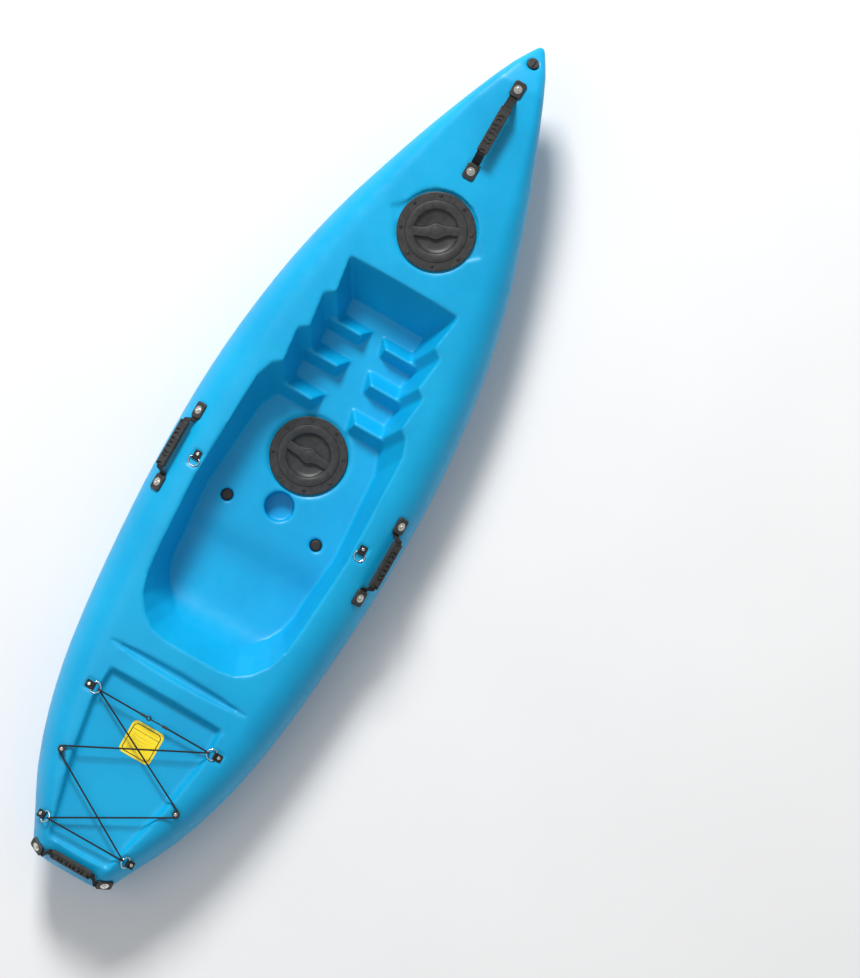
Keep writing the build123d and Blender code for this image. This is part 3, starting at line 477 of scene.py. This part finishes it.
lining = hull_skin.vertex_groups.new(name="lining")
inner = [v.index for v in mesh.vertices if in_lining(v)]
lining.add(inner, 1.0, "REPLACE")
print("hull points", len(mesh.vertices), "of them lining", len(inner))

# %% [markdown]
# With the lining out of the way, the even grid is made, relaxed, and thinned out where
# the surface is flat.

# %% Hull skin
HULL_CELL = 0.0046
HULL_TRIANGLES = 194000

modify(
    hull_skin, "DISPLACE", direction="NORMAL", mid_level=0.0, strength=LINING_STEP,
    vertex_group="lining",
)
modify(hull_skin, "REMESH", mode="VOXEL", voxel_size=HULL_CELL)
modify(hull_skin, "SMOOTH", factor=0.5, iterations=7)
hull_cells = len(hull_skin.data.polygons)
modify(hull_skin, "DECIMATE", ratio=min(1.0, HULL_TRIANGLES / (2 * hull_cells)))
settle(hull_skin, Matrix(), "hull", moulded_blue, angle=60)
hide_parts("hull")
print("hull cells", hull_cells, "kept", len(hull_skin.data.polygons))

# %% [markdown]
# ## Hatch lids
#
# Each lid is a turned part: a flat rim, a round dish to put the fingers in, and a skirt
# that screws into the ring. It is drawn as half of its section and spun round. The bar
# across the dish swells into a round hub in its middle and leans a little each side of
# it, so its outline is an S that is the same when turned half round.

# %% Lid shapes
DISH = 0.0645
BAR_HALF = 0.067
HUB_RADIUS = 0.014
LID_TURNS = {"bow_hatch": 115.0, "cockpit_hatch": 87.0}


def lid_disc(name, low, top, rim, skirt):
    """The lid without its bar: half a section, from the middle out, spun about Z."""
    dish_floor = top - 0.0105
    section = [
        (0.0001, dish_floor), (0.030, dish_floor), (0.050, dish_floor + 0.0008),
        (0.058, dish_floor + 0.003), (0.0625, top - 0.0032), (DISH, top - 0.0008),
        (0.0665, top), (rim - 0.0035, top), (rim - 0.0008, top - 0.0008),
        (rim, top - 0.0025), (rim, top - 0.0048), (skirt, top - 0.0052),
        (skirt, low), (skirt - 0.003, low), (skirt - 0.003, top - 0.0135),
        (0.0001, top - 0.0135),
    ]
    start_clean()
    bpy.ops.mesh.primitive_circle_add(vertices=len(section), radius=1, fill_type="NOTHING")
    obj = bpy.context.object
    obj.name = name
    for vertex, (r, z) in zip(obj.data.vertices, section):
        vertex.co = (r, 0, z)
    edit(obj)
    bpy.ops.mesh.spin(
        steps=96, angle=2 * math.pi, center=(0, 0, 0), axis=(0, 0, 1), use_auto_merge=True
    )
    bpy.ops.mesh.select_all(action="SELECT")
    bpy.ops.mesh.remove_doubles(threshold=0.0002)
    bpy.ops.mesh.normals_make_consistent(inside=False)
    start_clean()
    return obj


def bar_edge(u):
    """How far the bar's edge is from its middle line, at u along the bar."""
    hub = 0.0100 * math.exp(-((u / 0.019) ** 2))
    lean = 0.0040 * math.sin(2.6 * u / BAR_HALF) * (1 - math.exp(-((u / 0.02) ** 2)))
    return 0.0125 + hub + lean


def lid_bar(name, top, turn):
    reach = 25
    us = [BAR_HALF * (2 * i / (reach - 1) - 1) for i in range(reach)]
    upper = [(u, bar_edge(u)) for u in us]
    lower = [(-u, -bar_edge(u)) for u in us]
    bar = block(name, upper + lower, top - 0.0112, top - 0.0006)
    modify(bar, "BEVEL", width=0.0018, segments=3, limit_method="ANGLE")
    bar.data.transform(Matrix.Rotation(turn, 4, "Z"))
    return bar


for hatch, turn in LID_TURNS.items():
    low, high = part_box(hatch + "_lid")
    rim = (high.x - low.x) / 2
    middle = (low + high) / 2
    skirt_low, skirt_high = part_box(hatch + "_seal")
    skirt = (skirt_high.x - skirt_low.x) / 2 - 0.0002
    disc = lid_disc(hatch + "_cover", low.z, high.z, rim, skirt)
    bar = lid_bar(hatch + "_bar", high.z, math.radians(turn))
    hub_rim = arc(0, 0, HUB_RADIUS, 0, 345, 24)
    hub = block(hatch + "_hub", hub_rim, high.z - 0.0012, high.z - 0.0001)
    modify(hub, "BEVEL", width=0.0006, segments=2, limit_method="ANGLE")
    cover = join([disc, bar, hub], hatch + "_cover")
    settle(
        cover, Matrix.Translation((middle.x, middle.y, 0)), hatch + "_lid",
        grained_black,
    )
    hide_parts(hatch + "_lid")
    print(cover.name, len(cover.data.polygons), "faces")

# %% [markdown]
# ## Carry handles
#
# A carry handle is a length of webbing screwed down at both ends, with a moulded grip
# threaded on it. The webbing stands up in a low arch. Each handle is built in its own
# frame, with X along its line of screws and Z away from the hull, and moved to its
# place at the end. The joint of each handle says where that frame is.

# %% Handle frames
LEAN = math.radians(32)
STERN_TILT = math.radians(53)
STERN_RISE = 0.050
SCREW_LINE_LIFT = 0.0013
HANDLES = {
    "bow": ((-0.033, 0, 0.999), 0.264, 0.143, (0, 0, 0.045), 0.0),
    "port": ((0, 0.669, 0.743), 0.232, 0.143, (0, 0, 0.030), 0.0),
    "starboard": ((0, -0.669, 0.743), 0.232, 0.143, (0, 0, 0.030), 0.0),
    "stern": (
        (-0.719, 0, 0.695), 0.214, 0.126,
        (0, STERN_RISE * math.sin(STERN_TILT), STERN_RISE * math.cos(STERN_TILT)), LEAN,
    ),
}


def handle_frame(name, up):
    joint = [j for j in frame["joints"] if j["name"] == name + "_handle_swing"][0]
    along = Vector(joint["axis"]).normalized()
    up = Vector(up).normalized()
    side = up.cross(along)
    origin = Vector(joint["pos_m"]) - up * SCREW_LINE_LIFT
    turned = Matrix((along, side, up)).transposed().to_4x4()
    return Matrix.Translation(origin) @ turned


print("handles", sorted(HANDLES))

# %% [markdown]
# The grip is a rounded bar. Three ovals are sunk in the middle of its top and a pair of
# crescents towards each end, with small dots between them, and each end has a
# round bite where the webbing comes out. The cutters are drawn once as outlines, pulled
# into blocks and taken away together.

# %% Grip
GRIP_WIDE = 0.032
GRIP_THICK = 0.011
FULL_GRIP = 0.143
SLOT_HALF_WIDE = 0.0129
SLOT_HALF_THICK = 0.0013


def oval(x, y, half_x, half_y):
    return [(x + half_x * c, y + half_y * s) for c, s in arc(0, 0, 1, 0, 345, 24)]


def crescent(x, side):
    outer = arc(x, 0, 0.0105, -72, 72, 13)
    inner = arc(x - 0.0050, 0, 0.0105, 56, -56, 13)
    return [(x + side * (px - x), side * py) for px, py in outer + inner]


def grip(name, long, lift):
    start_clean()
    bpy.ops.mesh.primitive_cube_add(size=1)
    obj = bpy.context.object
    obj.name = name
    obj.data.transform(Matrix.Diagonal((long, GRIP_WIDE, GRIP_THICK, 1)))
    edit(obj)
    bpy.ops.mesh.subdivide(number_cuts=5)
    start_clean()
    modify(obj, "BEVEL", width=0.0045, segments=5, limit_method="ANGLE")
    half = long / 2
    scale = long / FULL_GRIP
    cutters = []
    for x in (-0.0135, 0.0, 0.0135):
        cutters.append(oval(x * scale, 0, 0.0036, 0.0088))
    for side in (1, -1):
        for x in (0.0235, 0.0355):
            cutters.append(crescent(side * x * scale, side))
        for y in (0.0125, -0.0125):
            cutters.append(oval(side * 0.0135 * scale, y, 0.0014, 0.0014))
    tools = [block("cutter", outline, 0.0022, 0.02) for outline in cutters]
    cut(obj, join(tools, "cutters"))
    bites = [
        block("bite", oval(side * (half + 0.002), 0, 0.0125, 0.0127), 0.0014, 0.02)
        for side in (1, -1)
    ]
    cut(obj, join(bites, "bites"))
    past = half + 0.01
    slot_outline = [
        (-past, -SLOT_HALF_WIDE), (past, -SLOT_HALF_WIDE),
        (past, SLOT_HALF_WIDE), (-past, SLOT_HALF_WIDE),
    ]
    cut(obj, block("slot", slot_outline, -SLOT_HALF_THICK, SLOT_HALF_THICK))
    obj.data.transform(Matrix.Translation(lift))
    return obj


# %% [markdown]
# The webbing starts flat under one end cap, climbs to the grip, runs through it and
# comes down again. It is a flat grid whose rows follow that path. A subdivision makes
# the bends smooth and Solidify gives the band its thickness.

# %% Webbing band
BAND_WIDE = 0.025
BAND_THICK = 0.0018


def band_path(span, long, lift, lean):
    half = long / 2
    legs = {}
    for side in (1, -1):
        out = Vector((side * math.cos(lean), 0, -math.sin(lean)))
        up = Vector((side * math.sin(lean), 0, math.cos(lean)))
        seat = Vector((side * span / 2, 0, 0))
        points = [seat + out * u + up * w for u, w in (
            (0.010, 0.0013), (-0.012, 0.0013), (-0.0245, 0.0013), (-0.0300, 0.0040),
        )]
        end = Vector((side * (half + 0.008), 0, 0)) + Vector(lift) - Vector((0, 0, 0.0022))
        points += [points[-1].lerp(end, 0.35), points[-1].lerp(end, 0.7), end]
        points += [Vector((side * (half - 0.006), 0, 0)) + Vector(lift)]
        legs[side] = points
    return legs[-1] + [Vector(lift)] + list(reversed(legs[1]))


def band(name, path):
    start_clean()
    bpy.ops.mesh.primitive_grid_add(
        x_subdivisions=len(path) - 1, y_subdivisions=4, size=1, calc_uvs=True
    )
    obj = bpy.context.object
    obj.name = name
    rows = sorted({round(v.co.x, 5) for v in obj.data.vertices})
    for vertex in obj.data.vertices:
        place = path[rows.index(round(vertex.co.x, 5))]
        vertex.co = (place.x, place.y + vertex.co.y * BAND_WIDE, place.z)
    modify(obj, "SUBSURF", levels=2, render_levels=2)
    modify(obj, "SOLIDIFY", thickness=BAND_THICK, offset=0)
    return obj


for name, (up, span, long, lift, lean) in HANDLES.items():
    place = handle_frame(name, up)
    moulded = grip(name + "_grip", long, lift)
    settle(moulded, place, name + "_handle", grained_black)
    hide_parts(name + "_handle_grip")
    strap = band(name + "_webbing", band_path(span, long, lift, lean))
    settle(strap, place, None, webbing, angle=60)
    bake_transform(strap)
    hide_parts(name + "_handle_strap")
    print(name, "grip", len(moulded.data.polygons), "webbing", len(strap.data.polygons))

# %% [markdown]
# ## The label
#
# A square vinyl label with round corners lies on the floor of the stern well. Its print
# is only a pattern here: a dark rounded border, one bar below its top edge, and rows of
# plain rules where small print would be. The pattern reads the label's own UV map, and
# each shape is a little sum: a distance from the middle compared with a limit.

# %% Label print
label_print, shader = finish("label_print", 0.38)


def maths(kind, first, second=None):
    made = node(label_print, "ShaderNodeMath", operation=kind)
    for slot_number, value in enumerate((first, second)):
        if value is None:
            continue
        if isinstance(value, (int, float)):
            made.inputs[slot_number].default_value = value
        else:
            label_print.node_tree.links.new(value, made.inputs[slot_number])
    return made.outputs["Value"]


uv = node(label_print, "ShaderNodeTexCoord").outputs["UV"]
split = node(label_print, "ShaderNodeSeparateXYZ")
label_print.node_tree.links.new(uv, split.inputs["Vector"])
u = maths("SUBTRACT", split.outputs["X"], 0.5)
v = maths("SUBTRACT", split.outputs["Y"], 0.5)
beyond_u = maths("MAXIMUM", maths("SUBTRACT", maths("ABSOLUTE", u), 0.31), 0.0)
beyond_v = maths("MAXIMUM", maths("SUBTRACT", maths("ABSOLUTE", v), 0.31), 0.0)
corner = maths("SQRT", maths("ADD", maths("MULTIPLY", beyond_u, beyond_u),
                             maths("MULTIPLY", beyond_v, beyond_v)))
border = maths("COMPARE", corner, 0.118)
border.node.inputs[2].default_value = 0.013
heading = maths("COMPARE", v, 0.255)
heading.node.inputs[2].default_value = 0.007
rules = maths("LESS_THAN", maths("FRACT", maths("MULTIPLY", v, 19.0)), 0.22)
below = maths("COMPARE", v, -0.06)
below.node.inputs[2].default_value = 0.26
inside = maths("LESS_THAN", maths("ABSOLUTE", u), 0.34)
ragged = maths("LESS_THAN", u, maths("MULTIPLY", maths("SINE", maths("MULTIPLY", v, 61.0)), 0.4))
lines = maths("MULTIPLY", maths("MULTIPLY", rules, below), maths("MULTIPLY", inside, ragged))
wide = maths("MULTIPLY", heading, maths("LESS_THAN", maths("ABSOLUTE", u), 0.42))
print_mask = maths("MAXIMUM", maths("MAXIMUM", border, wide), maths("MULTIPLY", lines, 0.55))
ink = node(label_print, "ShaderNodeMix", data_type="RGBA")
label_print.node_tree.links.new(print_mask, ink.inputs["Factor"])
ink.inputs["A"].default_value = (1.0, 0.76, 0.018, 1)
ink.inputs["B"].default_value = (0.03, 0.022, 0.006, 1)
label_print.node_tree.links.new(ink.outputs["Result"], shader.inputs["Base Color"])
relief(label_print, shader, noise(label_print, 500.0), 0.0001, 0.2)
print(label_print.name)

# %% [markdown]
# The sheet is a fine grid. The points near each corner are drawn in onto an arc, and
# the sheet is then turned to the slope of the deck.

# %% Label sheet
LABEL_ROUND = 0.14

low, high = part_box("deck_label")
width = high.y - low.y
start_clean()
bpy.ops.mesh.primitive_grid_add(x_subdivisions=32, y_subdivisions=32, size=1, calc_uvs=True)
vinyl = bpy.context.object
vinyl.name = "deck_vinyl"
for vertex in vinyl.data.vertices:
    x, y = vertex.co.x, vertex.co.y
    over_x, over_y = abs(x) - (0.5 - LABEL_ROUND), abs(y) - (0.5 - LABEL_ROUND)
    if over_x > 0 and over_y > 0:
        far = max(over_x, over_y)
        reach = math.hypot(over_x, over_y)
        x = math.copysign(0.5 - LABEL_ROUND + over_x * far / reach, x)
        y = math.copysign(0.5 - LABEL_ROUND + over_y * far / reach, y)
    vertex.co.x, vertex.co.y = x, y
modify(vinyl, "SOLIDIFY", thickness=0.003, offset=0)
middle = (low + high) / 2
tilt = Matrix.Rotation(-math.atan2(high.z - low.z - 0.0004, high.x - low.x), 4, "Y")
turn_print = Matrix.Rotation(-math.pi / 2, 4, "Z")
size_label = Matrix.Diagonal((width, width, 0.1, 1))
settle(
    vinyl, Matrix.Translation(middle) @ tilt @ size_label @ turn_print,
    "hull", label_print,
)
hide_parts("deck_label")
print("label", round(width, 4), "m wide")

# %% [markdown]
# ## Finishes for the parts that stay
#
# Everything else already has its true shape: rings, screws, washers, caps, plugs and
# the cord's hook. Those parts keep their mesh and only take a finish, chosen by what
# each part is made of.

# %% Dress the frame's parts
def finish_for(name):
    if name in ("shock_cord_eye", "shock_cord_hook"):
        return black_steel
    if name.startswith(("bow_hatch_screws", "cockpit_hatch_screws")):
        return black_steel
    if name == "threaded_inserts":
        return plain_brass
    if name.endswith(("_seal", "_gasket", "scupper_plug")):
        return soft_rubber
    if name.endswith("_tab"):
        return tab_webbing
    if name.endswith(("_screws", "_washers", "side_ring", "front_ring", "rear_ring")):
        return bright_steel
    return grained_black


for name, part in frame["nodes"].items():
    if part.hide_render:
        continue
    part.data.materials.clear()
    part.data.materials.append(finish_for(name))
print("dressed", len([p for p in frame["nodes"].values() if not p.hide_render]), "parts")
